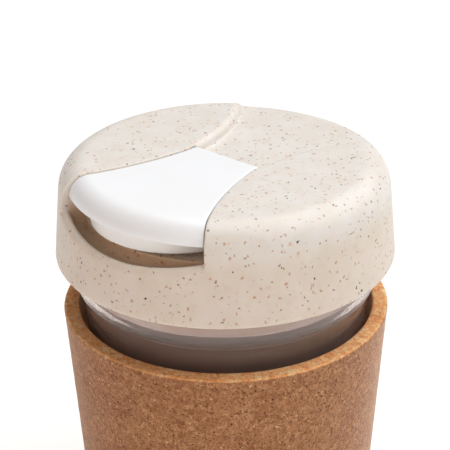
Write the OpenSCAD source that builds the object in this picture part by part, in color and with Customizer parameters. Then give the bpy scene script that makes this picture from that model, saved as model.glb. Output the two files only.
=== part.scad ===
// Reusable glass cup in a cork sleeve, with a domed drinking lid and a flip flap.
// Millimetres, +Z up, origin at the middle of the base, the drinking side faces -Y.

/* [Cork sleeve] */
// Overall height, from the table to the top of the lid
total_h = 138; // [130:1:150]
// Height of the sleeve's rim above the table
sleeve_h = 95.2; // [90:0.1:96]
// Outer radius of the sleeve at its rim
sleeve_rim_r = 45.6; // [45:0.1:47]
// Outer radius of the sleeve at the table
sleeve_foot_r = 39.2; // [38.5:0.1:41]
// Inner radius of the sleeve at its rim
sleeve_bore_r = 41.2; // [41:0.1:42]
// Thickness of the disc glued into the foot
base_t = 4; // [3:0.5:5]
// Rounding of the sleeve's rim
cork_round = 0.8; // [0.4:0.1:1.2]

/* [Glass cup] */
// Outer radius of the glass just under its collar
glass_neck_r = 40; // [39.5:0.1:40.2]
// Outer radius of the glass at its foot
glass_foot_r = 33.6; // [33:0.1:33.8]
// Wall thickness of the glass
glass_wall = 2.4; // [2:0.1:3]
// Thickness of the glass floor
glass_floor = 6; // [4:0.5:8]
// Rounding of the glass foot
glass_foot_round = 4; // [2:0.5:5]
// Outer radius of the collar
collar_r = 41.7; // [41.4:0.1:42]
// Rounding under the collar
collar_round = 2.6; // [2:0.1:3]
// Height of the collar's lower edge below the lid
collar_drop = 9.9; // [9:0.1:11]
// Inner radius of the mouth
mouth_r = 38.4; // [38.3:0.1:38.6]
// How far the glass rim stands below the top of the lid
rim_drop = 18.8; // [18.6:0.1:19.2]

/* [Lid shell] */
// Outer radius of the lid at its lower edge
lid_r = 47; // [46.5:0.1:48]
// Height of the lid
lid_h = 27; // [26:0.1:28]
// Radius of the shoulder
shoulder_r = 7.4; // [6.5:0.1:8]
// Draft angle of the lid's side, in degrees
lid_draft = 5.2; // [4:0.1:6]
// Wall thickness of the lid
lid_wall = 2.2; // [2:0.1:2.4]
// Rounding of the lid's lower edge
lid_edge_round = 0.8; // [0.4:0.1:1]

/* [Flap pocket] */
// Radius of the long arcs that shape the flap and its pocket
waist_r = 90.4; // [85:0.1:95]
// Half width that those arcs would reach at their narrowest
waist_half = 10.1; // [9.8:0.1:10.6]
// How far behind the middle the arcs are narrowest
waist_y = 11.9; // [10:0.1:13]
// Gap between the flap and the pocket's sides
side_gap = 0.3; // [0.2:0.05:0.5]
// Depth of the pocket's floor
pocket_depth = 12; // [11.8:0.1:12.4]
// Depth of the shallow part beside the hinge
hinge_depth = 2.7; // [2.6:0.1:3]
// Where the deep part of the pocket starts, in front of the middle
pocket_back = 9; // [8.5:0.1:9.5]

/* [Rear channel] */
// Depth of the channel that takes the opened flap
channel_depth = 2.5; // [2.4:0.1:2.6]
// Radius of the channel's side arcs at mid height
channel_r = 53.6; // [50:0.1:58]
// Half width of the channel at its waist
channel_half = 11.5; // [11:0.1:12]
// How far each side leans outward from the floor to the top
channel_lean = 1.6; // [1.4:0.1:2]

/* [Drinking lip] */
// Depth of the lip's crest at the front
lip_drop = 13.3; // [13:0.1:14]
// Radius of the curve in which the crest dips
lip_curve_r = 92; // [80:1:110]
// Outer radius of the trough behind the lip
trough_out_r = 43; // [42.8:0.1:43.2]
// Inner radius of the trough
trough_in_r = 39; // [38.6:0.1:39.2]
// Depth of the trough's floor
trough_depth = 15.4; // [15:0.1:15.6]
// Radius of the drinking hole
drink_hole_r = 5; // [4:0.1:5.5]
// Distance of the drinking hole from the middle
drink_hole_y = 31; // [29:0.5:32]
// Radius of the air vent
vent_r = 1.2; // [0.8:0.1:1.6]
// Distance of the air vent from the middle
vent_y = 15; // [14:0.5:16]

/* [Flap] */
// Depth of the flap's top below the lid's top
flap_sink = 0.3; // [0.2:0.05:0.5]
// Thickness of the flap's cover
cover_t = 1.9; // [1.6:0.1:2.2]
// Radius of the flap's front edge about the lid's middle
flap_front_r = 42.9; // [42.5:0.1:43.2]
// Radius of the flap's rounded nose
nose_r = 5.6; // [5:0.1:6]
// Depth of the flap's underside
flap_depth = 10; // [9.6:0.1:10.2]
// Radius of the round front of the under tray
tray_r = 23.5; // [22:0.1:25]
// Distance of that round front's centre from the middle
tray_y = 18.7; // [17:0.1:20]
// Wall thickness of the under tray
tray_wall = 1.5; // [1.2:0.1:1.8]

/* [Hinge] */
// Depth of the hinge axis below the lid's top
hinge_drop = 1.45; // [1.4:0.05:1.6]
// Distance of the hinge axis behind the middle
hinge_y = 0.5; // [0.3:0.1:0.8]
// Radius of the flap's rounded back edge
knuckle_r = 1.15; // [1.1:0.05:1.2]
// Radius of the moulded trunnions
trunnion_r = 0.8; // [0.7:0.05:0.85]
// Length of each trunnion
trunnion_l = 2.6; // [2:0.1:3]
// Radial play of a trunnion in its socket
trunnion_play = 0.05; // [0.03:0.01:0.08]

/* [Liner and seals] */
// Outer radius of the liner's plug ring
liner_r = 37.9; // [37.6:0.1:38]
// Wall thickness of the plug ring
liner_wall = 2; // [1.6:0.1:2.4]
// Thickness of the liner's flange
flange_t = 1.2; // [1:0.1:1.3]
// How far the plug ring reaches down into the mouth
liner_reach = 15.2; // [12:0.2:15.4]
// Height of the sealing ring
seal_h = 3.4; // [3:0.1:4]
// Depth of the groove that holds the sealing ring
seal_groove = 0.9; // [0.6:0.1:1.1]
// Play between the sealing ring and the mouth
seal_play = 0.06; // [0.02:0.01:0.1]
// Thickness of the stopper's pad
pad_t = 1.8; // [1.4:0.1:1.9]
// Depth that the stopper reaches into the drinking hole
stopper_reach = 1.6; // [1:0.1:2]

/* [Hidden] */
$fn = 180;
eps = 0.01;
over = 2;
top = total_h;
lid_z = top - lid_h;
seam_z = lid_z - collar_drop;
rim_z = top - rim_drop;
sleeve_lean = (sleeve_rim_r - sleeve_foot_r) / sleeve_h;
fit_play = 0.08;
fit_z = base_t + glass_foot_round;
bore_foot_r = glass_foot_r + fit_play;
shoulder_z = top - shoulder_r;
shoulder_x = lid_r - (shoulder_r - (lid_z - shoulder_z) * sin(lid_draft)) / cos(lid_draft);
reach = lid_r + over;
pocket_front = 30;
hinge_back = hinge_y + knuckle_r + side_gap;
hinge_relief = 1.5;
nose_depth = flap_sink + nose_r;
tray_inset = 1;
tray_back = pocket_back + 1;
stem_r = 2;
vent_stem_r = 1.2;
button_t = 1;
stopper_taper = 0.6;

// Outer radius of the sleeve at a height z.
function sleeve_r(z) = sleeve_foot_r + sleeve_lean * z;

// Radius of the lid's side at a height z under the shoulder, set in by a depth.
function side_r(z, depth) = lid_r - (z - lid_z) * tan(lid_draft) - depth / cos(lid_draft);

// Half width of the flap's outline at a distance y behind the middle.
function flap_half(y) = waist_half + waist_r - sqrt(waist_r * waist_r - pow(y - waist_y, 2));

// Half section of the lid's dome, set in by a depth.
module dome_section(depth, foot) {
    r = shoulder_r - depth;
    edge = depth > 0 ? 0 : lid_edge_round;
    touch = [shoulder_x + r * cos(lid_draft), shoulder_z + r * sin(lid_draft)];
    translate([shoulder_x, shoulder_z]) circle(r);
    polygon([[0, foot], [side_r(foot, depth) - edge, foot], [side_r(foot + edge, depth), foot + edge],
             touch, [shoulder_x, shoulder_z], [shoulder_x, top - depth], [0, top - depth]]);
}

// The space between two mirrored arcs that curve towards each other at the waist.
module waisted(half, r, margin, waist, y_front, y_back) {
    difference() {
        translate([-reach, y_front]) square([2 * reach, y_back - y_front]);
        for (side = [-1, 1])
            translate([side * (half + r), waist]) circle(r - margin);
    }
}

// A slab with the flap's plan, grown by a margin, between two depths under the lid's top.
module flap_slab(margin, y_front, y_back, from_depth, to_depth) {
    translate([0, 0, top - to_depth])
        linear_extrude(to_depth - from_depth)
        waisted(waist_half, waist_r, margin, waist_y, y_front, y_back);
}

// A disc about the cup's axis between two depths under the lid's top.
module disc(r, from_depth, to_depth) {
    translate([0, 0, top - to_depth]) cylinder(h = to_depth - from_depth, r = r);
}

module cork_sleeve() {
    color("#a5785a")
    rotate_extrude() difference() {
        union() {
            polygon([[0, 0], [sleeve_foot_r, 0], [sleeve_r(sleeve_h - cork_round), sleeve_h - cork_round],
                     [0, sleeve_h - cork_round]]);
            translate([0, sleeve_h - cork_round]) square([sleeve_rim_r - cork_round, cork_round]);
            translate([sleeve_rim_r - cork_round, sleeve_h - cork_round]) circle(cork_round);
        }
        translate([0, -eps]) square([bore_foot_r, fit_z + 2 * eps]);
        polygon([[0, fit_z], [bore_foot_r, fit_z], [sleeve_bore_r, sleeve_h],
                 [sleeve_bore_r, sleeve_h + over], [0, sleeve_h + over]]);
    }
}

module cork_base() {
    color("#8f6548")
    cylinder(h = base_t, r = bore_foot_r);
}

module glass_cup() {
    foot_x = glass_foot_r - glass_foot_round;
    rim_round = (collar_r - mouth_r) / 2;
    rim_foot = rim_z - rim_round;
    collar_z = seam_z + collar_round;
    color([0.78, 0.80, 0.84, 0.5])
    rotate_extrude() difference() {
        union() {
            translate([0, base_t]) square([foot_x, glass_foot_round]);
            translate([foot_x, fit_z]) circle(glass_foot_round);
            polygon([[0, fit_z], [glass_foot_r, fit_z], [glass_neck_r, seam_z],
                     [glass_neck_r, collar_z], [0, collar_z]]);
            translate([collar_r - collar_round, collar_z]) circle(collar_round);
            translate([0, collar_z]) square([collar_r, rim_foot - collar_z]);
            translate([mouth_r + rim_round, rim_foot]) circle(rim_round);
        }
        polygon([[0, base_t + glass_floor], [glass_foot_r - glass_wall, base_t + glass_floor],
                 [glass_neck_r - glass_wall, seam_z], [mouth_r, collar_z],
                 [mouth_r, rim_foot], [0, rim_foot]]);
        translate([0, rim_foot - eps]) square([mouth_r, rim_round + over]);
        translate([-reach, 0]) square([reach, total_h]);
    }
}

// The lid's closed outer form, to cut the inner walls of the pocket from.
module dome() {
    rotate_extrude() dome_section(0, lid_z);
}

// Walls and floors that the pocket, the trough and the rear channel are sunk into.
module lid_backing() {
    wall = side_gap + lid_wall;
    flap_slab(wall, -reach, lid_wall - pocket_back, 0, pocket_depth + lid_wall);
    flap_slab(wall + trunnion_l, -pocket_back, hinge_y + 2 * lid_wall, 0, hinge_depth + lid_wall);
    translate([0, 0, top - channel_depth - lid_wall])
        linear_extrude(channel_depth + lid_wall)
        waisted(channel_half, channel_r, lid_wall, hinge_y, hinge_y, reach);
    difference() {
        flap_slab(wall, -reach, -pocket_front, pocket_depth, trough_depth + lid_wall);
        disc(trough_in_r - lid_wall, 0, lid_h);
    }
}

// The pocket, down to its floor, the trough and the opening over the lip.
module pocket_cut() {
    intersection() {
        flap_slab(side_gap, -reach, -pocket_back, -over, pocket_depth);
        disc(trough_out_r, -over, pocket_depth);
    }
    difference() {
        intersection() {
            flap_slab(side_gap, -reach, -pocket_front, pocket_depth - eps, trough_depth);
            disc(trough_out_r, 0, trough_depth);
        }
        disc(trough_in_r, 0, lid_h);
    }
    difference() {
        intersection() {
            flap_slab(side_gap, -reach, -pocket_front, -over, lid_h);
            translate([0, 0, top - lip_drop + lip_curve_r])
                rotate([90, 0, 0])
                cylinder(h = reach, r = lip_curve_r);
        }
        disc(trough_in_r, pocket_depth, lid_h);
    }
    flap_slab(side_gap, -pocket_back - eps, hinge_back, -over, hinge_depth);
    flap_slab(2 * side_gap, -hinge_relief, hinge_back, -over, hinge_depth);
}

// The channel behind the hinge, whose sides lean outward.
module channel_cut() {
    h = channel_depth + over;
    slope = channel_lean / channel_depth;
    difference() {
        translate([-reach, hinge_back - eps, top - channel_depth]) cube([2 * reach, reach, h]);
        for (side = [-1, 1])
            translate([side * (channel_half + channel_r), hinge_y, top - channel_depth])
                cylinder(h = h, r1 = channel_r + channel_lean / 2,
                         r2 = channel_r + channel_lean / 2 - slope * h);
    }
}

// A pair of short shafts along the hinge axis, on both sides of the flap.
module trunnions(r, length) {
    inner = flap_half(hinge_y) - 1;
    for (side = [-1, 1])
        translate([0, hinge_y, top - hinge_drop])
            rotate([0, side * 90, 0])
            translate([0, 0, inner])
            cylinder(h = length + 1, r = r);
}

module lid_shell() {
    color("#ddd6cc")
    difference() {
        intersection() {
            union() {
                difference() {
                    dome();
                    rotate_extrude() dome_section(lid_wall, lid_z - eps);
                }
                lid_backing();
            }
            dome();
        }
        pocket_cut();
        channel_cut();
        trunnions(trunnion_r + trunnion_play, trunnion_l + side_gap);
        translate([0, -drink_hole_y, lid_z]) cylinder(h = lid_h, r = drink_hole_r);
        translate([0, -vent_y, lid_z]) cylinder(h = lid_h, r = vent_r);
    }
}

module lid_liner() {
    foot = rim_z - liner_reach;
    seal_z = rim_z - liner_reach / 2;
    flange_r = side_r(rim_z, lid_wall) - flange_t * tan(lid_draft) - trunnion_play;
    color("#efeeea")
    rotate_extrude() difference() {
        union() {
            translate([liner_r - liner_wall, foot]) square([liner_wall, liner_reach + flange_t]);
            translate([liner_r - liner_wall, rim_z]) square([flange_r - liner_r + liner_wall, flange_t]);
        }
        translate([liner_r - seal_groove, seal_z - seal_h / 2]) square([seal_groove + over, seal_h]);
    }
}

module lid_seal() {
    lip_r = (mouth_r - liner_r - seal_play + seal_groove) / 2;
    seal_z = rim_z - liner_reach / 2;
    color("#e6e4df")
    rotate_extrude() {
        translate([liner_r - seal_groove, seal_z - seal_h / 2]) square([seal_groove, seal_h]);
        for (side = [-1, 1])
            translate([mouth_r - seal_play - lip_r, seal_z + side * (seal_h / 2 - lip_r)])
                circle(lip_r);
    }
}

// Quarter section of the flap's rounded nose, set in by a depth.
module nose_section(depth) {
    centre_x = flap_front_r - nose_r;
    foot = top - flap_sink - nose_r;
    intersection() {
        union() {
            translate([centre_x, foot]) circle(nose_r - depth);
            translate([0, foot - over]) square([centre_x, nose_r - depth + over]);
        }
        translate([0, foot]) square([reach, nose_r]);
    }
}

module flap_cover() {
    color("#f7f8fa") {
        intersection() {
            flap_slab(0, -reach, hinge_y, 0, nose_depth);
            rotate_extrude() difference() {
                nose_section(0);
                translate([-eps, 0]) nose_section(cover_t);
            }
        }
        translate([-flap_half(hinge_y), hinge_y, top - hinge_drop])
            rotate([0, 90, 0])
            cylinder(h = 2 * flap_half(hinge_y), r = knuckle_r);
        trunnions(trunnion_r, trunnion_l);
    }
}

// The under tray's block, set in by a depth on every side, between two depths.
module tray_block(depth, from_depth, to_depth) {
    intersection() {
        flap_slab(-tray_inset - depth, -reach, depth - tray_back, from_depth, to_depth);
        translate([0, -tray_y, top - to_depth])
            cylinder(h = to_depth - from_depth, r = tray_r - depth);
    }
}

module flap_tray() {
    roof = flap_sink + cover_t;
    color("#f1f1ef")
    difference() {
        union() {
            tray_block(0, nose_depth, flap_depth);
            intersection() {
                tray_block(0, roof, nose_depth + eps);
                rotate_extrude() nose_section(cover_t);
            }
        }
        intersection() {
            tray_block(tray_wall, roof - over, flap_depth - tray_wall);
            disc(flap_front_r - cover_t - tray_wall, 0, flap_depth);
        }
        translate([0, -drink_hole_y, top - flap_depth - over])
            cylinder(h = over + tray_wall + eps, r = stem_r);
        translate([0, -vent_y, top - flap_depth - over])
            cylinder(h = over + tray_wall + eps, r = vent_stem_r);
    }
}

// A soft plug's pad under the tray and the button that holds it from inside.
module soft_plug(y, pad_r, stem) {
    translate([0, -y, top - flap_depth]) {
        translate([0, 0, -pad_t]) cylinder(h = pad_t, r = pad_r);
        cylinder(h = tray_wall, r = stem);
        translate([0, 0, tray_wall]) cylinder(h = button_t, r = stem + button_t);
    }
}

module drink_stopper() {
    tip = drink_hole_r - trunnion_play * 2;
    color("#dcdad4") {
        soft_plug(drink_hole_y, drink_hole_r + 2, stem_r);
        translate([0, -drink_hole_y, top - pocket_depth - stopper_reach])
            cylinder(h = stopper_reach + pocket_depth - flap_depth - pad_t + eps,
                     r1 = tip - stopper_taper, r2 = tip);
    }
}

module vent_plug() {
    color("#dcdad4")
    soft_plug(vent_y, 2 * vent_r, vent_stem_r);
}

cork_sleeve();
cork_base();
glass_cup();
lid_shell();
lid_liner();
lid_seal();
flap_cover();
flap_tray();
drink_stopper();
vent_plug();
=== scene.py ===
"""Visual model of a rigid glass cup in a cork sleeve, closed by a domed lid with a flip flap.

Lengths in the dataclasses are millimetres and become metres where a mesh is made.
Depths are measured down from the top of the lid, and the drinking side faces -Y.
"""

import logging
import math
from dataclasses import dataclass, field
from enum import Enum
from typing import Sequence

import bpy
from mathutils import Matrix, Vector


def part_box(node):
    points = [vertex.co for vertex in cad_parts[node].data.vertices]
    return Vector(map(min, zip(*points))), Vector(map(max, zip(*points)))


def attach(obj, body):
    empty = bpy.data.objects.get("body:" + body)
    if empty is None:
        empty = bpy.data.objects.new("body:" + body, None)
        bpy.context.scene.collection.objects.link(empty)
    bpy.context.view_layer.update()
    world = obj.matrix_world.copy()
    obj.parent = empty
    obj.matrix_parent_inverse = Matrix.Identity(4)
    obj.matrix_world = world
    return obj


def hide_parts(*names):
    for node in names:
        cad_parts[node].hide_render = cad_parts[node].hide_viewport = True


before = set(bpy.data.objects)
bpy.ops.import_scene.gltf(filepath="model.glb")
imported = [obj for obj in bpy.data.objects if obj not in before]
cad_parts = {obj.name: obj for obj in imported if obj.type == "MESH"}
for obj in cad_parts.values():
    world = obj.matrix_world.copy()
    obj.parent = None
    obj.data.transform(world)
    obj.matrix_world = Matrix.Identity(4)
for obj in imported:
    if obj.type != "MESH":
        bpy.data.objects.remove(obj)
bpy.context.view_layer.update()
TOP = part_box("lid_shell")[1].z * 1000.0
MM = 0.001
DOUBLE = 0.004 * MM
LOG = logging.getLogger("glass_cup")

Point = tuple[float, float]
Span = tuple[float, float]
Colour = tuple[float, float, float, float]


# --------------------------------------------------------------------------- mesh work


class Cut(Enum):
    """What a tool solid does to the solid it meets."""

    REMOVE = "DIFFERENCE"
    KEEP_COMMON = "INTERSECT"
    JOIN = "UNION"


def arc(centre: Point, radius: float, start: float, end: float, steps: int) -> list[Point]:
    """Points along a circular arc.

    Args:
        centre: Centre of the arc.
        radius: Radius of the arc.
        start: First angle, in degrees.
        end: Last angle, in degrees.
        steps: Number of pieces that the arc is cut into.

    Returns:
        steps + 1 points from start to end.
    """
    turns = [math.radians(start + (end - start) * i / steps) for i in range(steps + 1)]
    return [(centre[0] + radius * math.cos(t), centre[1] + radius * math.sin(t)) for t in turns]


def line(start: Point, end: Point, steps: int) -> list[Point]:
    """Points along a straight line, both ends included.

    Args:
        start: First point.
        end: Last point.
        steps: Number of pieces that the line is cut into.

    Returns:
        steps + 1 points from start to end.
    """
    return [(start[0] + (end[0] - start[0]) * i / steps, start[1] + (end[1] - start[1]) * i / steps)
            for i in range(steps + 1)]


def nothing_selected() -> None:
    """Leave edit mode and deselect every object."""
    if bpy.context.object and bpy.context.object.mode != "OBJECT":
        bpy.ops.object.mode_set(mode="OBJECT")
    bpy.ops.object.select_all(action="DESELECT")


def only(piece: bpy.types.Object) -> bpy.types.Object:
    """Select one object and make it the active one.

    Args:
        piece: The object.

    Returns:
        The same object.
    """
    nothing_selected()
    piece.select_set(True)
    bpy.context.view_layer.objects.active = piece
    return piece


def trace(name: str, points: Sequence[Vector]) -> bpy.types.Object:
    """Draw a chain of edges by extruding one vertex from point to point, and stay in edit mode.

    Args:
        name: Name of the new object.
        points: Places of the vertices, in metres.

    Returns:
        The new object, whose object sits at the origin.
    """
    nothing_selected()
    bpy.ops.mesh.primitive_plane_add(size=MM, location=(0.0, 0.0, 0.0))
    piece = bpy.context.object
    piece.name = name
    piece.data.name = name
    bpy.ops.object.mode_set(mode="EDIT")
    bpy.ops.mesh.select_mode(type="VERT")
    bpy.ops.mesh.select_all(action="SELECT")
    bpy.ops.mesh.merge(type="CENTER")
    bpy.ops.transform.translate(value=points[0])
    for last, new in zip(points, points[1:]):
        bpy.ops.mesh.extrude_region_move(TRANSFORM_OT_translate={"value": new - last})
    bpy.ops.mesh.select_all(action="SELECT")
    return piece


def clean(piece: bpy.types.Object, smooth_angle: float = 40.0) -> bpy.types.Object:
    """Merge doubles, turn all faces outwards and shade smooth up to an angle.

    Args:
        piece: A closed mesh.
        smooth_angle: Edges sharper than this stay sharp, in degrees.

    Returns:
        The same piece.
    """
    only(piece)
    bpy.ops.object.mode_set(mode="EDIT")
    bpy.ops.mesh.select_all(action="SELECT")
    bpy.ops.mesh.remove_doubles(threshold=DOUBLE)
    bpy.ops.mesh.normals_make_consistent(inside=False)
    bpy.ops.object.mode_set(mode="OBJECT")
    bpy.ops.object.shade_smooth_by_angle(angle=math.radians(smooth_angle))
    return piece


def turned(name: str, profile: Sequence[Point], steps: int = 192, turn: float = 360.0) -> bpy.types.Object:
    """Spin a profile about the cup's axis, as on a lathe.

    Args:
        name: Name of the piece.
        profile: Radius and height pairs in millimetres. Both ends lie on the axis, or they meet.
        steps: Steps round the axis.
        turn: Angle of the spin, in degrees.

    Returns:
        The closed, smooth-shaded piece.
    """
    piece = trace(name, [Vector((r * MM, 0.0, z * MM)) for r, z in profile])
    bpy.ops.mesh.spin(steps=steps, angle=math.radians(turn), center=(0.0, 0.0, 0.0), axis=(0.0, 0.0, 1.0))
    bpy.ops.object.mode_set(mode="OBJECT")
    return clean(piece)


def prism(name: str, outline: Sequence[Point], low: float, high: float) -> bpy.types.Object:
    """Fill a closed outline and extrude it upwards.

    Args:
        name: Name of the piece.
        outline: Corner points in millimetres, without a repeated last point.
        low: Height of the lower face, in millimetres.
        high: Height of the upper face, in millimetres.

    Returns:
        The closed prism.
    """
    loop = [Vector((x * MM, y * MM, low * MM)) for x, y in [*outline, outline[0]]]
    piece = trace(name, loop)
    bpy.ops.mesh.remove_doubles(threshold=DOUBLE)
    bpy.ops.mesh.edge_face_add()
    bpy.ops.mesh.extrude_region_move(TRANSFORM_OT_translate={"value": (0.0, 0.0, (high - low) * MM)})
    bpy.ops.object.mode_set(mode="OBJECT")
    return clean(piece, 30.0)


def shifted(piece: bpy.types.Object, by: tuple[float, float, float]) -> bpy.types.Object:
    """Move a piece's mesh inside its object.

    Args:
        piece: The piece.
        by: How far it moves, in metres.

    Returns:
        The same piece.
    """
    only(piece)
    bpy.ops.object.mode_set(mode="EDIT")
    bpy.ops.mesh.select_all(action="SELECT")
    bpy.ops.transform.translate(value=by)
    bpy.ops.object.mode_set(mode="OBJECT")
    return piece


def cylinder(name: str, radius: float, centre: tuple[float, float, float], length: float,
             along_x: bool = False, along_y: bool = False) -> bpy.types.Object:
    """A round tool solid or shaft.

    Args:
        name: Name of the piece.
        radius: Radius in millimetres.
        centre: Middle of the cylinder in millimetres.
        length: Length in millimetres.
        along_x: True if it lies along X.
        along_y: True if it lies along Y. It stands upright otherwise.

    Returns:
        The cylinder, with its place and turn in its mesh.
    """
    nothing_selected()
    turn = (math.pi / 2 if along_y else 0.0, math.pi / 2 if along_x else 0.0, 0.0)
    bpy.ops.mesh.primitive_cylinder_add(vertices=96, radius=radius * MM, depth=length * MM,
                                        location=Vector(centre) * MM, rotation=turn)
    piece = bpy.context.object
    piece.name = name
    bpy.ops.object.transform_apply(location=True, rotation=True, scale=True)
    return piece


def carve(piece: bpy.types.Object, tool: bpy.types.Object, cut: Cut,
          keep_tool: bool = False) -> bpy.types.Object:
    """Cut or join a piece with a tool solid.

    Args:
        piece: The solid that is kept.
        tool: The solid that shapes it.
        cut: What the tool does.
        keep_tool: True to leave the tool for another cut. It is used up otherwise.

    Returns:
        The shaped piece.
    """
    only(piece)
    step = piece.modifiers.new("cut", "BOOLEAN")
    step.operation = cut.value
    step.solver = "EXACT"
    step.object = tool
    bpy.ops.object.modifier_apply(modifier=step.name)
    if not keep_tool:
        bpy.data.objects.remove(tool)
    return piece


def moulded(piece: bpy.types.Object, grain: float, rounds: int, triangles: int) -> bpy.types.Object:
    """Give a carved solid the soft edges of a moulding.

    The solid is rebuilt as an even skin, relaxed so that its edges round off, and thinned.

    Args:
        piece: A carved solid.
        grain: Size of the skin's faces, in millimetres.
        rounds: Times that the skin is relaxed.
        triangles: Most triangles that the piece may end with.

    Returns:
        The same piece, smooth shaded.
    """
    only(piece)
    skin = piece.modifiers.new("skin", "REMESH")
    skin.mode = "VOXEL"
    skin.voxel_size = grain * MM
    bpy.ops.object.modifier_apply(modifier=skin.name)
    relax = piece.modifiers.new("relax", "SMOOTH")
    relax.factor = 0.5
    relax.iterations = rounds
    bpy.ops.object.modifier_apply(modifier=relax.name)
    faces = 2 * len(piece.data.polygons)
    if faces > triangles:
        thin = piece.modifiers.new("thin", "DECIMATE")
        thin.ratio = triangles / faces
        bpy.ops.object.modifier_apply(modifier=thin.name)
    bpy.ops.object.shade_smooth()
    return piece


def tube(name: str, points: Sequence[Vector], radius: float) -> bpy.types.Object:
    """Thicken a path into a round bar.

    Args:
        name: Name of the piece.
        points: Points of the path, in metres.
        radius: Radius of the bar, in millimetres.

    Returns:
        The bar as a closed mesh.
    """
    piece = trace(name, points)
    bpy.ops.object.mode_set(mode="OBJECT")
    bpy.ops.object.convert(target="CURVE")
    piece = bpy.context.object
    piece.data.bevel_depth = radius * MM
    piece.data.bevel_resolution = 8
    piece.data.use_fill_caps = True
    bpy.ops.object.convert(target="MESH")
    return clean(bpy.context.object)


def place(piece: bpy.types.Object, body: str, node: str,
          finish: bpy.types.Material) -> bpy.types.Object:
    """Hang a finished piece on its body in place of its CAD node, and paint it.

    Args:
        piece: The finished piece.
        body: CAD body that it moves with.
        node: CAD node that it stands for.
        finish: Its material.

    Returns:
        The same piece.
    """
    piece.data.materials.clear()
    piece.data.materials.append(finish)
    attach(piece, body)
    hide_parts(node)
    LOG.info("%s stands for %s on %s, %d faces", piece.name, node, body, len(piece.data.polygons))
    return piece


# --------------------------------------------------------------------------- finishes


def colour(code: str) -> Colour:
    """Turn an sRGB hex code into a linear colour.

    Args:
        code: A code such as "#a5785a".

    Returns:
        Red, green, blue and an alpha of 1.
    """
    parts = [int(code[i:i + 2], 16) / 255.0 for i in (1, 3, 5)]
    red, green, blue = [p / 12.92 if p <= 0.04045 else ((p + 0.055) / 1.055) ** 2.4 for p in parts]
    return (red, green, blue, 1.0)


def per_mm(size: float) -> float:
    """Scale of a texture in metres whose cells are to be size millimetres across."""
    return 1.0 / (size * MM)


def metres(span: Span) -> Span:
    """Turn both ends of a span from millimetres into metres."""
    return span[0] * MM, span[1] * MM


@dataclass(frozen=True)
class Specks:
    """One layer of scattered specks, with sizes as shares of a cell where no unit is given.

    Each cell of size millimetres holds a speck or not. The seed is an offset in millimetres that
    tells one layer from another, and the outline wanders.
    """

    code: str
    size: float
    share: float
    radius: float
    seed: float
    blur: float
    strength: float = 1.0
    wander: float = 0.8


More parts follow.
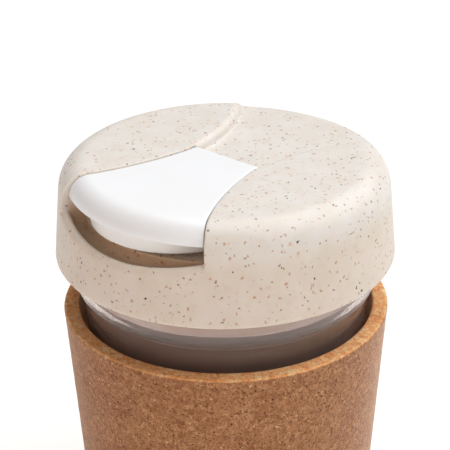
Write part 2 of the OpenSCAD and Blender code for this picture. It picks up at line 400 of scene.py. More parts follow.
class Paint:
    """The shader nodes of one material."""

    def __init__(self, name: str) -> None:
        """Start an empty material with a name."""
        self.material = bpy.data.materials.new(name)
        self.material.use_nodes = True
        self.material.node_tree.nodes.clear()
        self.output = self.add("ShaderNodeOutputMaterial")

    def add(self, kind: str, inputs: dict | None = None, **settings: object) -> bpy.types.Node:
        """Add a node.

        Args:
            kind: Blender's name of the node.
            inputs: Values, or output sockets to link, by the input's name or number.
            **settings: Properties of the node.

        Returns:
            The new node.
        """
        tree = self.material.node_tree
        node = tree.nodes.new(kind)
        for key, value in settings.items():
            setattr(node, key, value)
        for key, value in (inputs or {}).items():
            if isinstance(value, bpy.types.NodeSocket):
                tree.links.new(value, node.inputs[key])
            else:
                node.inputs[key].default_value = value
        return node

    def place(self) -> bpy.types.NodeSocket:
        """Coordinates of a point on the piece, in metres."""
        return self.add("ShaderNodeTexCoord").outputs["Object"]

    def noise(self, size: float, detail: float = 3.0,
              at: bpy.types.NodeSocket | None = None) -> bpy.types.Node:
        """Noise whose waves are size millimetres across."""
        return self.add("ShaderNodeTexNoise", {"Vector": at or self.place(), "Scale": per_mm(size),
                                               "Detail": detail, "Roughness": 0.6})

    def ramp(self, factor: bpy.types.NodeSocket, stops: Sequence[tuple[float, str]],
             steps: bool = False) -> bpy.types.NodeSocket:
        """Turn a factor into colours.

        Args:
            factor: Value from 0 to 1.
            stops: Places and sRGB codes.
            steps: True for flat bands of colour.

        Returns:
            The colour socket.
        """
        node = self.add("ShaderNodeValToRGB", {0: factor})
        node.color_ramp.interpolation = "CONSTANT" if steps else "LINEAR"
        marks = node.color_ramp.elements
        while len(marks) < len(stops):
            marks.new(0.5)
        for mark, (at, code) in zip(marks, stops):
            mark.position = at
            mark.color = colour(code)
        return node.outputs["Color"]

    def span(self, value: bpy.types.NodeSocket, low: float, high: float,
             to_low: float = 0.0, to_high: float = 1.0) -> bpy.types.NodeSocket:
        """Map a value's range smoothly to another one, clamped."""
        return self.add("ShaderNodeMapRange", {0: value, 1: low, 2: high, 3: to_low, 4: to_high},
                        interpolation_type="SMOOTHSTEP").outputs[0]

    def over(self, factor: float | bpy.types.NodeSocket, below: bpy.types.NodeSocket | Colour,
             above: bpy.types.NodeSocket | Colour, blend: str = "MIX") -> bpy.types.NodeSocket:
        """Lay one colour over another.

        Args:
            factor: How much of the upper colour shows.
            below: Lower colour.
            above: Upper colour.
            blend: How they are blended.

        Returns:
            The colour socket.
        """
        node = self.add("ShaderNodeMix", {0: factor, 6: below, 7: above}, data_type="RGBA",
                        blend_type=blend)
        return node.outputs[2]

    def maths(self, kind: str, *values: object) -> bpy.types.NodeSocket:
        """Combine values."""
        return self.add("ShaderNodeMath", dict(enumerate(values)), operation=kind).outputs[0]

    def vector(self, kind: str, *values: object) -> bpy.types.NodeSocket:
        """Combine vectors."""
        return self.add("ShaderNodeVectorMath", dict(enumerate(values)), operation=kind).outputs[0]

    def away(self) -> bpy.types.NodeSocket:
        """Distance from the cup's axis, in metres."""
        flat = self.vector("MULTIPLY", self.place(), (1.0, 1.0, 0.0))
        return self.add("ShaderNodeVectorMath", {0: flat}, operation="LENGTH").outputs["Value"]

    def height(self) -> bpy.types.NodeSocket:
        """Height above the floor, in metres."""
        return self.add("ShaderNodeSeparateXYZ", {0: self.place()}).outputs[2]

    def specks(self, tone: bpy.types.NodeSocket, layer: Specks,
               where: bpy.types.NodeSocket | None = None) -> bpy.types.NodeSocket:
        """Scatter a layer of specks over a colour.

        Args:
            tone: Colour below.
            layer: The specks.
            where: Mask that fades them, if any.

        Returns:
            The colour socket.
        """
        offset = (layer.seed * MM, -layer.seed * MM, layer.seed * MM)
        at = self.vector("ADD", self.place(), offset)
        swirl = self.noise(layer.size * 0.5, 2.0, at).outputs["Color"]
        turn = self.vector("SUBTRACT", swirl, (0.5, 0.5, 0.5))
        bent = self.vector("MULTIPLY_ADD", turn, (layer.size * layer.wander * MM,) * 3, at)
        cells = self.add("ShaderNodeTexVoronoi", {"Vector": bent, "Scale": per_mm(layer.size),
                                                  "Randomness": 1.0})
        pick = self.add("ShaderNodeSeparateColor", {0: cells.outputs["Color"]})
        radius = self.maths("MULTIPLY_ADD", pick.outputs[1], layer.radius * 0.8, layer.radius * 0.6)
        inside = self.maths("SUBTRACT", radius, cells.outputs["Distance"])
        chosen = self.maths("LESS_THAN", pick.outputs[0], layer.share)
        mask = self.maths("MULTIPLY", self.span(inside, 0.0, layer.blur), chosen)
        mask = self.maths("MULTIPLY", mask, layer.strength)
        if where:
            mask = self.maths("MULTIPLY", mask, where)
        return self.over(mask, tone, colour(layer.code))

    def bump(self, height: bpy.types.NodeSocket, depth: float) -> bpy.types.NodeSocket:
        """Relief whose full height is depth millimetres."""
        node = self.add("ShaderNodeBump", {"Height": height, "Distance": depth * MM, "Strength": 1.0})
        return node.outputs["Normal"]

    def principled(self, **inputs: object) -> bpy.types.Material:
        """Close the material with its surface shader.

        Args:
            **inputs: Values or sockets, by the input's name with underscores for spaces.

        Returns:
            The finished material.
        """
        named = {key.replace("_", " "): value for key, value in inputs.items()}
        shader = self.add("ShaderNodeBsdfPrincipled", named)
        self.material.node_tree.links.new(shader.outputs[0], self.output.inputs["Surface"])
        return self.material


@dataclass(frozen=True)
class Cork:
    """Fine cork granules pressed with a binder and sanded: matt tan with small dark and light flecks.

    The fuzz of the cut cells lights up towards the edges of the round. The rim and the bore take a
    brighter cut tone that is partly the cut cork's own colour and partly painted light.
    """

    name: str = "agglomerated_cork_sanded"
    granule: float = 1.1
    rim: Span = (94.55, 95.0)
    bore: Span = (36.2, 36.6)
    lean: float = 0.0737
    body: tuple = ((0.0, "#a06c48"), (0.3, "#b27e57"), (0.7, "#b9855d"), (1.0, "#c8976c"))
    # Cut tones: partly the cut cork's own colour, raised brighter as painted light on the upward rim.
    cut: tuple = ((0.0, "#ec9f60"), (0.3, "#fcb677"), (0.7, "#ffc486"), (1.0, "#ffdca8"))
    flecks: Specks = Specks("#633a22", 0.8, 0.5, 0.32, 31.0, 0.1, 0.9)
    light: Specks = Specks("#dcb48c", 1.28, 0.1, 0.26, 57.0, 0.1, 0.7)
    dark: Specks = Specks("#452615", 1.2, 0.34, 0.2, 83.0, 0.06)

    def make(self) -> bpy.types.Material:
        """Build the material.

        Returns:
            The finished material.
        """
        paint = Paint(self.name)
        wander = paint.noise(self.granule * 0.8, 2.0).outputs["Color"]
        bent = paint.vector("MULTIPLY_ADD", wander, (self.granule * 0.8 * MM,) * 3, paint.place())
        cells = paint.add("ShaderNodeTexVoronoi", {"Vector": bent, "Scale": per_mm(self.granule)})
        pick = paint.add("ShaderNodeSeparateColor", {0: cells.outputs["Color"]}).outputs[0]
        height = paint.height()
        upright = paint.maths("SUBTRACT", paint.away(), paint.maths("MULTIPLY", height, self.lean))
        # Painted light, in part: the rim and the bore take the brighter cut tones as well as the cork's
        # own cut colour.
        cut_and_lit = paint.maths("MAXIMUM", paint.span(height, *metres(self.rim)),
                             paint.span(upright, *metres(self.bore), 1.0, 0.0))
        tone = paint.over(cut_and_lit, paint.ramp(pick, self.body), paint.ramp(pick, self.cut))
        grain = paint.noise(0.5, 4.0).outputs["Fac"]
        shade = paint.ramp(grain, [(0.36, "#b5a498"), (0.6, "#ffffff")])
        tone = paint.over(paint.span(cut_and_lit, 0.0, 1.0, 0.85, 0.5), tone, shade, "MULTIPLY")
        cloud = paint.ramp(paint.noise(11.0, 2.0).outputs["Fac"], [(0.35, "#efe6df"), (0.65, "#ffffff")])
        tone = paint.over(0.7, tone, cloud, "MULTIPLY")
        skin = paint.span(cut_and_lit, 0.0, 1.0, 1.0, 0.35)
        for layer, where in ((self.flecks, skin), (self.light, None), (self.dark, skin)):
            tone = paint.specks(tone, layer, where)
        relief = paint.maths("ADD", grain, paint.span(cells.outputs["Distance"], 0.0, 0.7))
        return paint.principled(Base_Color=tone, Roughness=0.85, Specular_IOR_Level=0.25,
                                Sheen_Weight=0.5, Sheen_Roughness=0.4, Sheen_Tint=colour("#ffe6d6"),
                                Normal=paint.bump(relief, 0.07))


@dataclass(frozen=True)
class Glass:
    """Clear soda-lime glass, fire polished: sharp highlights and a faint warm cast.

    A little haze stands for the film that handling leaves, and lifts the glass off the dark cork.
    """

    name: str = "clear_glass_fire_polished"
    tint: str = "#f3e0d8"
    clarity: float = 0.9
    body: float = 0.9
    ripple: float = 1.5

    def make(self) -> bpy.types.Material:
        """Build the material.

        Returns:
            The finished material.
        """
        paint = Paint(self.name)
        along = paint.vector("MULTIPLY", paint.place(), (0.1, 0.1, 1.0))
        swell = paint.noise(self.ripple, 2.0, along).outputs["Fac"]
        return paint.principled(Base_Color=colour(self.tint), Roughness=0.015, IOR=1.5,
                                Transmission_Weight=self.clarity, Alpha=self.body,
                                Normal=paint.bump(swell, 0.16))


@dataclass(frozen=True)
class FibrePlastic:
    """Plastic filled with plant fibre: warm off-white, satin, with fine brown and tan specks, plus painted
    shade: a warm darker tint in the drinking trough and a warm darkening towards the foot of the side.
    """

    name: str = "fibre_filled_plastic_satin"
    trough_out: Span = (42.5, 43.8)
    trough_in: Span = (36.5, 39.5)
    trough_deep: Span = (126.5, 133.5)
    painted_side_shade: Span = (125.0, 134.5)
    layers: tuple[Specks, ...] = (
        Specks("#d0bca6", 3.6, 0.5, 0.3, 17.0, 0.35, 0.28),
        Specks("#be9168", 1.75, 0.75, 0.24, 5.0, 0.18, 0.8),
        Specks("#8f6c52", 1.75, 0.5, 0.2, 41.0, 0.12, 0.8),
        Specks("#54402f", 1.925, 0.3, 0.14, 71.0, 0.07),
    )

    def make(self) -> bpy.types.Material:
        """Build the material.

        Returns:
            The finished material.
        """
        paint = Paint(self.name)
        cloud = paint.noise(6.0, 2.0).outputs["Fac"]
        tone = paint.ramp(cloud, [(0.35, "#ddd6ce"), (0.5, "#dfd9d2"), (0.65, "#e1dcd7")])
        for layer in self.layers:
            tone = paint.specks(tone, layer)
        height, away = paint.height(), paint.away()
        # Painted shade: the drinking trough under the flap is darkened to a warm tan.
        inner = paint.span(away, *metres(self.trough_out), 1.0, 0.0)
        front = paint.span(away, *metres(self.trough_in))
        deep = paint.span(height, *metres(self.trough_deep), 1.0, 0.0)
        trough_shade = paint.maths("MULTIPLY", paint.maths("MULTIPLY", inner, front), deep)
        tone = paint.over(paint.maths("MULTIPLY", trough_shade, 0.6), tone, colour("#f6d5b2"), "MULTIPLY")
        # Painted shade: the side of the lid is darkened and warmed from the shoulder down to its foot.
        thin = paint.span(height, *metres(self.painted_side_shade), 0.42, 0.0)
        tone = paint.over(thin, tone, colour("#eedac0"), "MULTIPLY")
        grain = paint.noise(0.35, 2.0).outputs["Fac"]
        return paint.principled(Base_Color=tone, Roughness=0.42, Specular_IOR_Level=0.42,
                                Subsurface_Weight=0.3, Subsurface_Radius=(1.0, 0.6, 0.34),
                                Subsurface_Scale=2.5 * MM, Normal=paint.bump(grain, 0.006))


@dataclass(frozen=True)
class Moulding:
    """Plain injection-moulded polymer in one colour, with a fine spark-eroded grain.

    The grain only breaks the highlight up a little, and a soft polymer is duller.
    """

    name: str
    code: str
    roughness: float = 0.36
    grain: float = 0.004
    glow: float = 0.08

    def make(self) -> bpy.types.Material:
        """Build the material.

        Returns:
            The finished material.
        """
        paint = Paint(self.name)
        fine = paint.noise(0.3, 2.0).outputs["Fac"]
        drift = paint.noise(14.0, 1.0).outputs["Fac"]
        tone = paint.over(paint.span(drift, 0.3, 0.7, 0.0, 0.05), colour(self.code), colour("#d9d4cb"))
        return paint.principled(Base_Color=tone, Roughness=self.roughness, Specular_IOR_Level=0.45,
                                Subsurface_Weight=self.glow, Subsurface_Radius=(1.0, 0.9, 0.8),
                                Subsurface_Scale=MM, Normal=paint.bump(fine, self.grain))


# --------------------------------------------------------------------------- sub-assemblies


@dataclass
class CorkSleeve:
    """The cork tube round the glass and the cork disc pushed into its foot."""

    rim_r: float = 45.6
    foot_r: float = 39.2
    height: float = 95.2
    bore_r: float = 41.2
    bore_foot_r: float = 33.68
    bore_foot_z: float = 8.0
    disc_t: float = 4.0
    edge: float = 0.8
    cork: Cork = field(default_factory=Cork)

    def outer(self, z: float) -> float:
        """Outer radius at a height."""
        return self.foot_r + (self.rim_r - self.foot_r) * z / self.height

    def tube(self) -> bpy.types.Object:
        """Turn the tube, then roughen its skin inwards the way that sanded cork is.

        Returns:
            The tube.
        """
        soft = 0.6
        shelf = self.height - self.edge
        profile = [
            *line((self.bore_foot_r, 0.3), (self.bore_foot_r, self.bore_foot_z), 6),
            *line((self.bore_foot_r, self.bore_foot_z), (self.bore_r, self.height - soft), 60)[1:],
            *arc((self.bore_r + soft, self.height - soft), soft, 180.0, 90.0, 5)[1:],
            *line((self.bore_r + soft, self.height), (self.rim_r - self.edge, self.height), 5)[1:],
            *arc((self.rim_r - self.edge, shelf), self.edge, 90.0, 0.0, 6)[1:],
            *line((self.outer(shelf), shelf), (self.outer(self.edge), self.edge), 78)[1:],
            *arc((self.outer(self.edge) - self.edge, self.edge), self.edge, 0.0, -90.0, 5)[1:],
            *line((self.outer(self.edge) - self.edge, 0.0), (self.bore_foot_r + 0.3, 0.0), 4)[1:],
            (self.bore_foot_r, 0.3),
        ]
        piece = turned("cork_tube", profile, 288)
        pits = bpy.data.textures.new("cork_pits", "CLOUDS")
        pits.noise_scale = 1.4 * MM
        pits.noise_depth = 2
        only(piece)
        rough = piece.modifiers.new("rough", "DISPLACE")
        rough.texture = pits
        rough.texture_coords = "LOCAL"
        rough.strength = 0.16 * MM
        rough.mid_level = 0.85
        bpy.ops.object.modifier_apply(modifier=rough.name)
        return piece

    def disc(self) -> bpy.types.Object:
        """Turn the disc, with softened edges.

        Returns:
            The disc.
        """
        r, t, e = self.bore_foot_r, self.disc_t, 0.4
        profile = [*line((0.0, 0.0), (r - e, 0.0), 12), *arc((r - e, e), e, -90.0, 0.0, 3)[1:],
                   *arc((r - e, t - e), e, 0.0, 90.0, 3), *line((r - e, t), (0.0, t), 12)[1:]]
        return turned("cork_disc", profile)

    def build(self) -> None:
        """Make the sleeve's pieces and hang them on its body."""
        skin = self.cork.make()
        place(self.tube(), "sleeve", "cork_sleeve", skin)
        place(self.disc(), "sleeve", "cork_base", skin)


@dataclass
class GlassCup:
    """The tapered glass with the thicker collar that the lid plugs into."""

    collar_r: float = 41.7
    collar_round: float = 2.6
    seam_z: float = 101.1
    mouth_r: float = 38.4
    rim_z: float = 119.2
    neck_r: float = 40.0
    foot_r: float = 33.6
    foot_z: float = 4.0
    foot_round: float = 4.0
    wall: float = 2.4
    floor: float = 6.0
    glass: Glass = field(default_factory=Glass)

    def build(self) -> None:
        """Turn the glass and hang it on its body."""
        rim = (self.collar_r - self.mouth_r) / 2
        bulge_z = self.seam_z + self.collar_round
        knee_z = self.foot_z + self.foot_round
        inner_foot = self.foot_r - self.wall
        floor_z = self.foot_z + self.floor
        soft = 3.0
        profile = [
            *line((0.0, self.foot_z), (self.foot_r - self.foot_round, self.foot_z), 8),
            *arc((self.foot_r - self.foot_round, knee_z), self.foot_round, -90.0, 0.0, 10)[1:],
            *line((self.foot_r, knee_z), (self.neck_r, self.seam_z - 0.1), 40)[1:],
            (self.neck_r + 0.1, self.seam_z + 0.12),
            *arc((self.collar_r - self.collar_round, bulge_z), self.collar_round, -62.0, 0.0, 10),
            *line((self.collar_r, bulge_z), (self.collar_r, self.rim_z - rim), 8)[1:],
            *arc((self.collar_r - rim, self.rim_z - rim), rim, 0.0, 180.0, 16)[1:],
            *line((self.mouth_r, self.rim_z - rim), (self.mouth_r, bulge_z), 8)[1:],
            (self.neck_r - self.wall + 0.3, self.seam_z + 1.0),
            *line((self.neck_r - self.wall, self.seam_z), (inner_foot, floor_z + soft), 40),
            *arc((inner_foot - soft, floor_z + soft), soft, 0.0, -90.0, 8)[1:],
            *line((inner_foot - soft, floor_z), (0.0, floor_z), 8)[1:],
        ]
        place(turned("glass_body", profile), "cup", "glass_cup", self.glass.make())


@dataclass
class FlapPlan:
    """The waisted outline that the flap and the lid's pocket share."""

    half: float = 10.1
    radius: float = 90.4
    waist: float = 11.9

    def half_at(self, y: float, grow: float = 0.0) -> float:
        """Half width at a place along Y, grown sideways by a margin."""
        bow = self.radius - grow
        return self.half + self.radius - math.sqrt(bow * bow - (y - self.waist) ** 2)

    def outline(self, front: float, back: float, grow: float = 0.0, steps: int = 60) -> list[Point]:
        """Corners of the outline between two places along Y.

        Args:
            front: Lowest Y.
            back: Highest Y.
            grow: Margin that the outline is grown by sideways.
            steps: Pieces that each side is cut into.

        Returns:
            The corners, in order.
        """
        rows = [front + (back - front) * i / steps for i in range(steps + 1)]
        right = [(self.half_at(y, grow), y) for y in rows]
        return right + [(-x, y) for x, y in reversed(right)]


@dataclass
class Lid:
    """The domed lid: a carved shell, the liner ring that plugs into the glass, and its seal."""

    plan: FlapPlan
    r: float = 47.0
    foot_z: float = 111.0
    draft: float = 5.2
    shoulder_r: float = 7.4
    wall: float = 2.2
    edge: float = 0.8
    gap: float = 0.3
    pocket_depth: float = 12.0
    pocket_back: float = -9.0
    pocket_front: float = -30.0
    hinge_depth: float = 2.7
    hinge_back: float = 1.95
    hinge_relief: float = -1.5
    hinge_y: float = 0.5
    hinge_drop: float = 1.45
    socket_r: float = 0.95
    socket_end: float = 13.7
    channel_depth: float = 2.5
    channel_half: float = 11.5
    channel_r: float = 53.6
    ridge_r: float = 2.1
    foot_r: float = 0.8
    lip_drop: float = 13.3
    lip_curve_r: float = 92.0
    trough_out_r: float = 43.0
    trough_in_r: float = 39.0
    trough_depth: float = 15.4
    drink_hole_r: float = 5.0
    drink_hole_y: float = -31.0
    vent_r: float = 1.2
    vent_y: float = -15.0
    liner_r: float = 37.9
    liner_wall: float = 2.0
    rim_z: float = 119.2
    liner_reach: float = 15.2
    flange_t: float = 1.2
    seal_h: float = 3.4
    seal_groove: float = 0.9
    seal_r: float = 38.34
    grain: float = 0.3
    shell_finish: FibrePlastic = field(default_factory=FibrePlastic)
    liner_finish: Moulding = Moulding("liner_polypropylene", "#efeeea", 0.4)
    seal_finish: Moulding = Moulding("seal_silicone", "#dedcd6", 0.55)

    def side(self, z: float, depth: float = 0.0) -> float:
        """Radius of the side at a height, set in by a depth."""
        lean = math.radians(self.draft)
        return self.r - (z - self.foot_z) * math.tan(lean) - depth / math.cos(lean)

    def crown(self, depth: float, foot: float) -> list[Point]:
        """Section of the dome from its foot over the shoulder to the axis, set in by a depth.

        Args:
            depth: Distance that the section is set in by.
            foot: Height that the side starts from.

        Returns:
            Radius and height pairs, with the foot first.
        """
        lean = math.radians(self.draft)
        z = TOP - self.shoulder_r
        drop = (self.foot_z - z) * math.sin(lean)
        x = self.r - (self.shoulder_r - drop) / math.cos(lean)
        centre = (x, z)
        shoulder = arc(centre, self.shoulder_r - depth, self.draft, 90.0, 16)
        return [(self.side(foot, depth), foot), *shoulder, (0.0, TOP - depth)]

    def block(self, name: str, front: float, back: float, grow: float, high: float,
              low: float) -> bpy.types.Object:
        """Extrude the flap's plan.

        Args:
            name: Name of the solid.
            front: Lowest Y.
            back: Highest Y.
            grow: Margin that the plan is grown by sideways.
            high: Depth of the upper face under the lid's top.
            low: Depth of the lower face.

        Returns:
            The solid.
        """
        return prism(name, self.plan.outline(front, back, grow), TOP - low, TOP - high)

    def disc(self, name: str, r: float, high: float, low: float) -> bpy.types.Object:
        """Turn a disc about the axis between two depths."""
        return turned(name, [(0.0, TOP - low), (r, TOP - low), (r, TOP - high), (0.0, TOP - high)])

    def lobe(self, side: int) -> bpy.types.Object:
        """Turn the rounded ridge that flanks the rear channel.

        Args:
            side: 1 for the right side and -1 for the left one.

        Returns:
            The solid that is left standing beside the channel.
        """
        turn = math.degrees(math.acos(1.0 - self.channel_depth / (self.ridge_r + self.foot_r)))
        run = (self.ridge_r + self.foot_r) * math.sin(math.radians(turn))
        start = self.channel_r - 0.55 * run
        floor = TOP - self.channel_depth
        ridge = arc((start, TOP - self.ridge_r), self.ridge_r, 90.0, 90.0 - turn, 12)
        foot = arc((start + run, floor + self.foot_r), self.foot_r, 270.0 - turn, 270.0, 8)
        profile = [(0.0, TOP + 4.0), (start, TOP + 4.0), *ridge, *foot[1:], (start + run, floor - 3.0),
                   (0.0, floor - 3.0)]
        middle = side * (self.channel_half + self.channel_r)
        return shifted(turned("lobe", profile, 256), (middle * MM, self.hinge_y * MM, 0.0))

    def channel(self) -> bpy.types.Object:
        """The space of the rear channel.

        Returns:
            The solid of the space, with a ridge left standing on either side.
        """
        reach = self.r + 3.0
        plan = [(-reach, self.hinge_back), (reach, self.hinge_back), (reach, reach), (-reach, reach)]
        space = prism("channel", plan, TOP - self.channel_depth, TOP + 3.0)
        for side in (-1, 1):
            carve(space, self.lobe(side), Cut.REMOVE)
        return space

    def crust(self) -> bpy.types.Object:
        """Turn the dome's wall.

        Returns:
            The wall, which becomes the lid's shell.
        """
        edge_z = self.foot_z + self.edge
        foot = arc((self.side(edge_z) - self.edge, edge_z), self.edge, -80.0, 0.0, 5)
        inner = self.crown(self.wall, self.foot_z)
        return turned("lid_shell_moulded", [*reversed(inner), *foot[:-1], *self.crown(0.0, edge_z)], 256)

    def walls(self) -> bpy.types.Object:
        """Stand the pocket's, the trough's and the channel's walls inside the dome.

        Returns:
            The walls as one solid that ends in the middle of the dome's wall.
        """
        wall = self.gap + self.wall
        reach = self.r + 2.0
        half = self.wall / 2
        piece = self.block("pocket_walls", -reach, self.wall + self.pocket_back, wall, 0.0,
                           self.pocket_depth + self.wall)
        carve(piece, self.block("hinge_walls", self.pocket_back, self.hinge_y + 2 * self.wall,
                                wall + 2.6, half, self.hinge_depth + self.wall - 0.01), Cut.JOIN)
        under = self.disc("channel_floor", 44.0, half, self.channel_depth + self.wall)
        plan = [(-reach, self.hinge_y), (reach, self.hinge_y), (reach, reach), (-reach, reach)]
        rear = prism("rear", plan, self.foot_z, TOP + 1.0)
        carve(piece, carve(under, rear, Cut.KEEP_COMMON), Cut.JOIN)
        ledge = self.block("trough_walls", -reach, self.pocket_front, wall - 0.01, self.pocket_depth,
                           self.trough_depth + self.wall)
        carve(ledge, self.disc("core", self.trough_in_r - self.wall, 0.0, 30.0), Cut.REMOVE)
        carve(piece, ledge, Cut.JOIN)
        middle = self.crown(half, self.foot_z)
        return carve(piece, turned("middle", [(0.0, self.foot_z), *middle], 96), Cut.KEEP_COMMON)

    def lip_round(self) -> float:
        """Radius of the lip's full round, half the thickness of its wall."""
        return (self.side(TOP - self.lip_drop) - self.trough_out_r) / 2

    def mouth(self, name: str, grow: float, drop: float) -> bpy.types.Object:
        """The opening over the lip's curved crest.

        Args:
            name: Name of the solid.
            grow: Margin beside the flap, on top of the gap.
            drop: Depth of the crest's middle under the lid's top.

        Returns:
            The solid of the opening.
        """
        room = self.block(name, -self.r - 2.0, self.pocket_front, self.gap + grow, -4.0, 26.0)
        above = cylinder("above", self.lip_curve_r, (0.0, -40.0, TOP - drop + self.lip_curve_r), 60.0,
                         along_y=True)
        carve(room, above, Cut.KEEP_COMMON)
        floor = self.disc("floor", self.trough_in_r + 0.5, self.pocket_depth - 1.0, 27.0)
        return carve(room, floor, Cut.REMOVE)

    def lip(self) -> bpy.types.Object:
        """The full round along the lip's curved crest.

        Returns:
            A bar that follows the crest from one end wall to the other.
        """
        bar = self.lip_round()
        middle = self.trough_out_r + bar
        points = []
        for i in range(49):
            turn = math.radians(-36.0 + 1.5 * i)
            x = middle * math.sin(turn)
            rise = x * x / (2 * self.lip_curve_r)
            inward = rise * math.tan(math.radians(self.draft))
            points.append(Vector((x - inward * math.sin(turn), -(middle - inward) * math.cos(turn),
                                  TOP - self.lip_drop - bar + rise)) * MM)
        return tube("lip_bar", points, bar)

    def tools(self) -> list[bpy.types.Object]:
        """Solids of the pocket, the trough, the mouth, the channel and the holes.

        Neighbours differ by a hundredth of a millimetre, so that no two cuts share a face.

        Returns:
            The solids that are cut away from the lid.
        """
        reach = self.r + 2.0
        apart = 0.012
        pocket = self.block("pocket", -reach, self.pocket_back, self.gap, -2.0, self.pocket_depth)
        carve(pocket, self.disc("round", self.trough_out_r, -3.0, 14.0), Cut.KEEP_COMMON)
        trough = self.block("trough", -reach, self.pocket_front, self.gap + apart, self.pocket_depth - 0.5,
                            self.trough_depth)
        carve(trough, self.disc("round", self.trough_out_r + apart, 0.0, 20.0), Cut.KEEP_COMMON)
        carve(trough, self.disc("core", self.trough_in_r, 0.0, 20.0), Cut.REMOVE)
        mouth = self.mouth("mouth", 2 * apart, self.lip_drop)
        rebate = self.mouth("rebate", 4 * apart, self.lip_drop + self.lip_round())
        carve(rebate, self.disc("inside", self.trough_out_r - 0.4, -5.0, 27.0), Cut.REMOVE)
        hinge = self.block("hinge", self.pocket_back - 0.5, self.hinge_back, self.gap + 3 * apart, -5.0,
                           self.hinge_depth)
        relief = self.block("relief", self.hinge_relief, self.hinge_back + apart, 2 * self.gap, -6.0,
                            self.hinge_depth + apart)
        sockets = cylinder("sockets", self.socket_r, (0.0, self.hinge_y, TOP - self.hinge_drop),
                           2 * self.socket_end, along_x=True)
        drink = cylinder("drink_hole", self.drink_hole_r, (0.0, self.drink_hole_y, 125.0), 24.0)
        vent = cylinder("vent", self.vent_r, (0.0, self.vent_y, 125.0), 24.0)
        return [pocket, trough, mouth, rebate, hinge, relief, self.channel(), sockets, drink, vent]

    def shell(self) -> bpy.types.Object:
        """Cut every tool out of the wall of the dome and the walls inside it, and soften the edges.

        Returns:
            The lid's shell.
        """
        crust, walls = self.crust(), self.walls()
        for tool in self.tools():
            carve(walls, tool, Cut.REMOVE, keep_tool=True)
            carve(crust, tool, Cut.REMOVE)
        lip = self.lip()
        only(crust)
        walls.select_set(True)
        lip.select_set(True)
        bpy.ops.object.join()
        return moulded(crust, self.grain, 7, 196000)

    def liner(self) -> bpy.types.Object:
        """Turn the liner ring with its flange and the groove for the seal.

        Returns:
            The ring.
        """
        foot = self.rim_z - self.liner_reach
        inner = self.liner_r - self.liner_wall
        mid = self.rim_z - self.liner_reach / 2
        groove = self.liner_r - self.seal_groove
        flange = self.side(self.rim_z, self.wall) - 0.16
        profile = [(inner, foot + 0.4), (inner + 0.4, foot), (self.liner_r - 0.5, foot),
                   (self.liner_r, foot + 0.5), (self.liner_r, mid - self.seal_h / 2),
                   (groove, mid - self.seal_h / 2), (groove, mid + self.seal_h / 2),
                   (self.liner_r, mid + self.seal_h / 2), (self.liner_r, self.rim_z), (flange, self.rim_z),
                   (flange, self.rim_z + self.flange_t), (inner, self.rim_z + self.flange_t),
                   (inner, foot + 0.4)]
        return turned("lid_liner_ring", profile)

    def seal(self) -> bpy.types.Object:
        """Turn the seal, a ring with two soft lips.

        Returns:
            The seal.
        """
        mid = self.rim_z - self.liner_reach / 2
        groove = self.liner_r - self.seal_groove
        lip = (self.seal_r - groove) / 2
        low, high = mid - self.seal_h / 2, mid + self.seal_h / 2
        profile = [(groove, low), *arc((self.seal_r - lip, low + lip), lip, -90.0, 80.0, 8),
                   *arc((self.seal_r - lip, high - lip), lip, -80.0, 90.0, 8), (groove, high),
                   (groove, low)]
        return turned("lid_seal_ring", profile)

    def build(self) -> None:
        """Make the lid's pieces and hang them on its body."""
        place(self.shell(), "lid", "lid_shell", self.shell_finish.make())
        place(self.liner(), "lid", "lid_liner", self.liner_finish.make())
        place(self.seal(), "lid", "lid_seal", self.seal_finish.make())


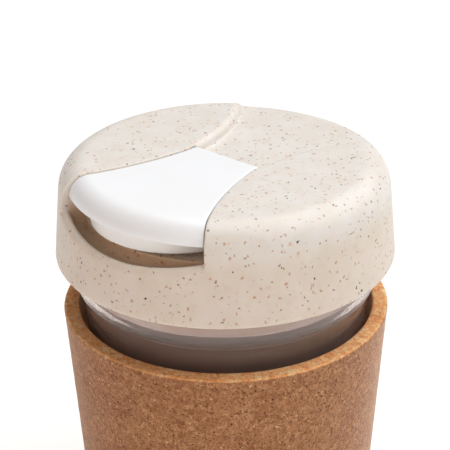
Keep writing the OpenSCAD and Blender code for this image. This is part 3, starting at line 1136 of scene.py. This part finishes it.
@dataclass
class Flap:
    """The white flip flap: its cover, the tray under it, and the two soft plugs."""

    plan: FlapPlan
    sink: float = 0.3
    cover_t: float = 1.9
    front_r: float = 42.9
    nose_r: float = 5.6
    depth: float = 10.0
    tray_r: float = 23.5
    tray_y: float = -18.7
    tray_wall: float = 1.5
    tray_inset: float = 1.0
    tray_back: float = -10.0
    hinge_y: float = 0.5
    hinge_drop: float = 1.45
    knuckle_r: float = 1.15
    trunnion_r: float = 0.8
    trunnion_end: float = 13.35
    drink_hole_y: float = -31.0
    drink_hole_r: float = 5.0
    vent_y: float = -15.0
    vent_r: float = 1.2
    pad_t: float = 1.8
    pocket_depth: float = 12.0
    plug_reach: float = 1.6
    cover_finish: Moulding = Moulding("flap_polypropylene_white", "#f0f2f5", 0.3, 0.003)
    tray_finish: Moulding = Moulding("tray_polypropylene", "#efefed", 0.42)
    plug_finish: Moulding = Moulding("plug_silicone", "#dcdad4", 0.55)

    def nose(self, depth: float, low: float) -> list[Point]:
        """Section of the flap's turned nose, set in by a depth.

        Args:
            depth: Distance that the section is set in by.
            low: Height of its lower end.

        Returns:
            Radius and height pairs from the axis over the nose, closed by the axis.
        """
        middle = (self.front_r - self.nose_r, TOP - self.sink - self.nose_r)
        r = self.nose_r - depth
        bow = arc(middle, r, 90.0, 0.0, 16)
        return [*line((0.0, bow[0][1]), bow[0], 8)[:-1], *bow, (bow[-1][0], low), (0.0, low)]

    def cover(self) -> bpy.types.Object:
        """Cut the cover from the turned nose and add its hinge.

        Returns:
            The cover.
        """
        base = TOP - self.sink - self.nose_r
        piece = turned("flap_cover_moulded", self.nose(0.0, base), 256)
        carve(piece, turned("hollow", self.nose(self.cover_t, base - 2.0), 256), Cut.REMOVE)
        reach = self.front_r + 4.0
        carve(piece, prism("plan", self.plan.outline(-reach, self.hinge_y), base - 1.0, TOP + 1.0),
              Cut.KEEP_COMMON)
        height = TOP - self.hinge_drop
        half = self.plan.half_at(self.hinge_y)
        carve(piece, cylinder("knuckle", self.knuckle_r, (0.0, self.hinge_y, height), 2 * half,
                              along_x=True), Cut.JOIN)
        carve(piece, cylinder("trunnions", self.trunnion_r, (0.0, self.hinge_y, height),
                              2 * self.trunnion_end, along_x=True), Cut.JOIN)
        return moulded(piece, 0.22, 4, 160000)

    def tray_block(self, depth: float, high: float, low: float) -> bpy.types.Object:
        """The tray's plan between two depths under the lid's top.

        Args:
            depth: Distance that the plan is set in by.
            high: Depth of the upper face.
            low: Depth of the lower face.

        Returns:
            The solid.
        """
        outline = self.plan.outline(-46.0, self.tray_back - depth, -self.tray_inset - depth)
        piece = prism("tray_plan", outline, TOP - low, TOP - high)
        barrel = cylinder("barrel", self.tray_r - depth, (0.0, self.tray_y, TOP - 8.0), 30.0)
        return carve(piece, barrel, Cut.KEEP_COMMON)

    def tray(self) -> bpy.types.Object:
        """Hollow the tray out under the cover.

        Returns:
            The tray.
        """
        roof = self.sink + self.cover_t
        nose_z = TOP - self.sink - self.nose_r
        piece = self.tray_block(0.0, roof, self.depth)
        low = turned("low", [(0.0, nose_z - 8.0), (46.0, nose_z - 8.0), (46.0, nose_z - 0.05),
                             *reversed(self.nose(self.cover_t + 0.02, nose_z - 0.05)[:-1])], 192)
        carve(piece, low, Cut.KEEP_COMMON)
        hollow = self.tray_block(self.tray_wall, -1.0, self.depth - self.tray_wall)
        carve(hollow, turned("room", [(0.0, TOP - 20.0), (self.front_r - 3.4, TOP - 20.0),
                                      (self.front_r - 3.4, TOP + 2.0), (0.0, TOP + 2.0)]), Cut.KEEP_COMMON)
        carve(piece, hollow, Cut.REMOVE)
        piece.name = "flap_tray_moulded"
        piece.data.name = piece.name
        return moulded(piece, 0.25, 4, 120000)

    def plug(self, name: str, y: float, pad_r: float, tip: list[Point], stem: float) -> bpy.types.Object:
        """Turn a soft plug with its pad below the tray and its button above.

        Args:
            name: Name of the piece.
            y: Place along Y.
            pad_r: Radius of the pad.
            tip: Section of what hangs below the pad, from the axis outwards.
            stem: Radius of the stem through the tray.

        Returns:
            The plug.
        """
        floor = TOP - self.depth
        low, high = floor - self.pad_t, floor + self.tray_wall
        profile = [*tip, *arc((pad_r - 0.5, low + 0.5), 0.5, -90.0, 0.0, 4), (pad_r, floor), (stem, floor),
                   (stem, high), (stem + 1.0, high), (stem + 1.0, high + 0.6), (stem + 0.6, high + 1.0),
                   (0.0, high + 1.0)]
        return shifted(turned(name, profile, 96), (0.0, y * MM, 0.0))

    def build(self) -> None:
        """Make the flap's pieces and hang them on its body."""
        place(self.cover(), "flap", "flap_cover", self.cover_finish.make())
        place(self.tray(), "flap", "flap_tray", self.tray_finish.make())
        soft = self.plug_finish.make()
        low = TOP - self.depth - self.pad_t
        end = TOP - self.pocket_depth - self.plug_reach
        r = self.drink_hole_r - 0.1
        tip = [(0.0, end), (r - 1.1, end), (r - 0.6, end + 0.5), (r, low)]
        place(self.plug("drink_plug", self.drink_hole_y, self.drink_hole_r + 2.0, tip, 2.0), "flap",
              "drink_stopper", soft)
        place(self.plug("vent_pad", self.vent_y, 2 * self.vent_r, [(0.0, low)], 1.2), "flap",
              "vent_plug", soft)


# --------------------------------------------------------------------------- studio


@dataclass
class Studio:
    """A pale floor, soft boxes and the camera."""

    azimuth: float = 40.75
    elevation: float = 26.28
    distance: float = 420.0
    aim_z: float = 117.37
    lens: float = 121.6
    roll: float = 0.68
    sensor: float = 36.0
    sky_width: float = 75.0

    def aim(self) -> Vector:
        """Point on the cup's axis that the camera and the soft boxes face."""
        return Vector((0.0, 0.0, self.aim_z * MM))

    def toward(self, azimuth: float, elevation: float) -> Vector:
        """Unit vector from the cup to a place round it, with angles in degrees."""
        a, e = math.radians(azimuth), math.radians(elevation)
        return Vector((math.sin(a) * math.cos(e), -math.cos(a) * math.cos(e), math.sin(e)))

    def lamp(self, kind: str, name: str, way: Vector, at: Vector, power: float) -> bpy.types.Light:
        """Hang a lamp that shines against a direction.

        Args:
            kind: Blender's name of the kind of lamp.
            name: Name of the lamp.
            way: Unit vector from the cup towards the lamp.
            at: Place of the lamp, in metres.
            power: Its power, or its strength for a sun.

        Returns:
            The lamp's own settings.
        """
        nothing_selected()
        bpy.ops.object.light_add(type=kind, location=at)
        lamp = bpy.context.object
        lamp.name = name
        lamp.rotation_mode = "QUATERNION"
        lamp.rotation_quaternion = way.to_track_quat("Z", "Y")
        lamp.data.energy = power
        return lamp.data

    def box(self, name: str, azimuth: float, elevation: float, away: float, width: float,
            height: float, power: float, tint: str = "#ffffff") -> None:
        """Hang a soft box that faces the lid.

        Args:
            name: Name of the light.
            azimuth: Direction round the cup, in degrees.
            elevation: Direction above the horizon, in degrees.
            away: Distance from the lid, in metres.
            width: Width of the soft box, in metres.
            height: Height of the soft box, in metres.
            power: Power in watts.
            tint: Colour of its light.
        """
        way = self.toward(azimuth, elevation)
        light = self.lamp("AREA", name, way, self.aim() + way * away, power)
        light.shape = "RECTANGLE"
        light.size = width
        light.size_y = height
        light.color = colour(tint)[:3]

    def sky(self, azimuth: float, elevation: float, power: float) -> None:
        """Light everything evenly from one wide side of the sky."""
        way = self.toward(azimuth, elevation)
        self.lamp("SUN", "sky", way, way, power).angle = math.radians(self.sky_width)

    def floor(self) -> None:
        """Lay the floor."""
        nothing_selected()
        bpy.ops.mesh.primitive_plane_add(size=6.0, location=(0.0, 0.0, -0.0005))
        plane = bpy.context.object
        plane.name = "studio_floor"
        paint = Paint("studio_paper")
        plane.data.materials.append(paint.principled(Base_Color=colour("#fcfcfc"), Roughness=0.9,
                                                     Specular_IOR_Level=0.1))

    def camera(self) -> None:
        """Set the camera up."""
        nothing_selected()
        way = self.toward(self.azimuth, self.elevation)
        bpy.ops.object.camera_add(location=self.aim() + way * self.distance * MM)
        eye = bpy.context.object
        turn = way.to_track_quat("Z", "Y").to_matrix().to_4x4()
        eye.rotation_euler = (turn @ Matrix.Rotation(math.radians(-self.roll), 4, "Z")).to_euler()
        eye.data.lens = self.lens
        eye.data.sensor_width = self.sensor
        eye.data.clip_start = 0.01
        eye.data.clip_end = 20.0
        bpy.context.scene.camera = eye

    def build(self) -> None:
        """Set up the floor, the lights, the camera and the colour settings."""
        self.floor()
        self.camera()
        world = bpy.data.worlds.new("studio")
        world.use_nodes = True
        glow = world.node_tree.nodes["Background"].inputs
        glow[0].default_value = colour("#fffdfb")
        glow[1].default_value = 0.2
        bpy.context.scene.world = world
        self.sky(160.0, 62.0, 3.05)
        self.box("key", 95.0, 38.0, 0.8, 0.35, 0.3, 0.5)
        self.box("front_fill", 32.0, 28.0, 0.8, 0.6, 0.35, 1.0, "#fff1e2")
        self.box("warm_fill", -5.0, 14.0, 0.7, 0.5, 0.3, 0.3, "#ffb27a")
        bpy.context.scene.view_settings.view_transform = "Standard"


def main() -> None:
    """Build the cup and the studio in order."""
    logging.basicConfig(level=logging.INFO, format="%(message)s")
    plan = FlapPlan()
    CorkSleeve().build()
    GlassCup().build()
    Lid(plan).build()
    Flap(plan).build()
    Studio().build()


if __name__ == "__main__":
    main()
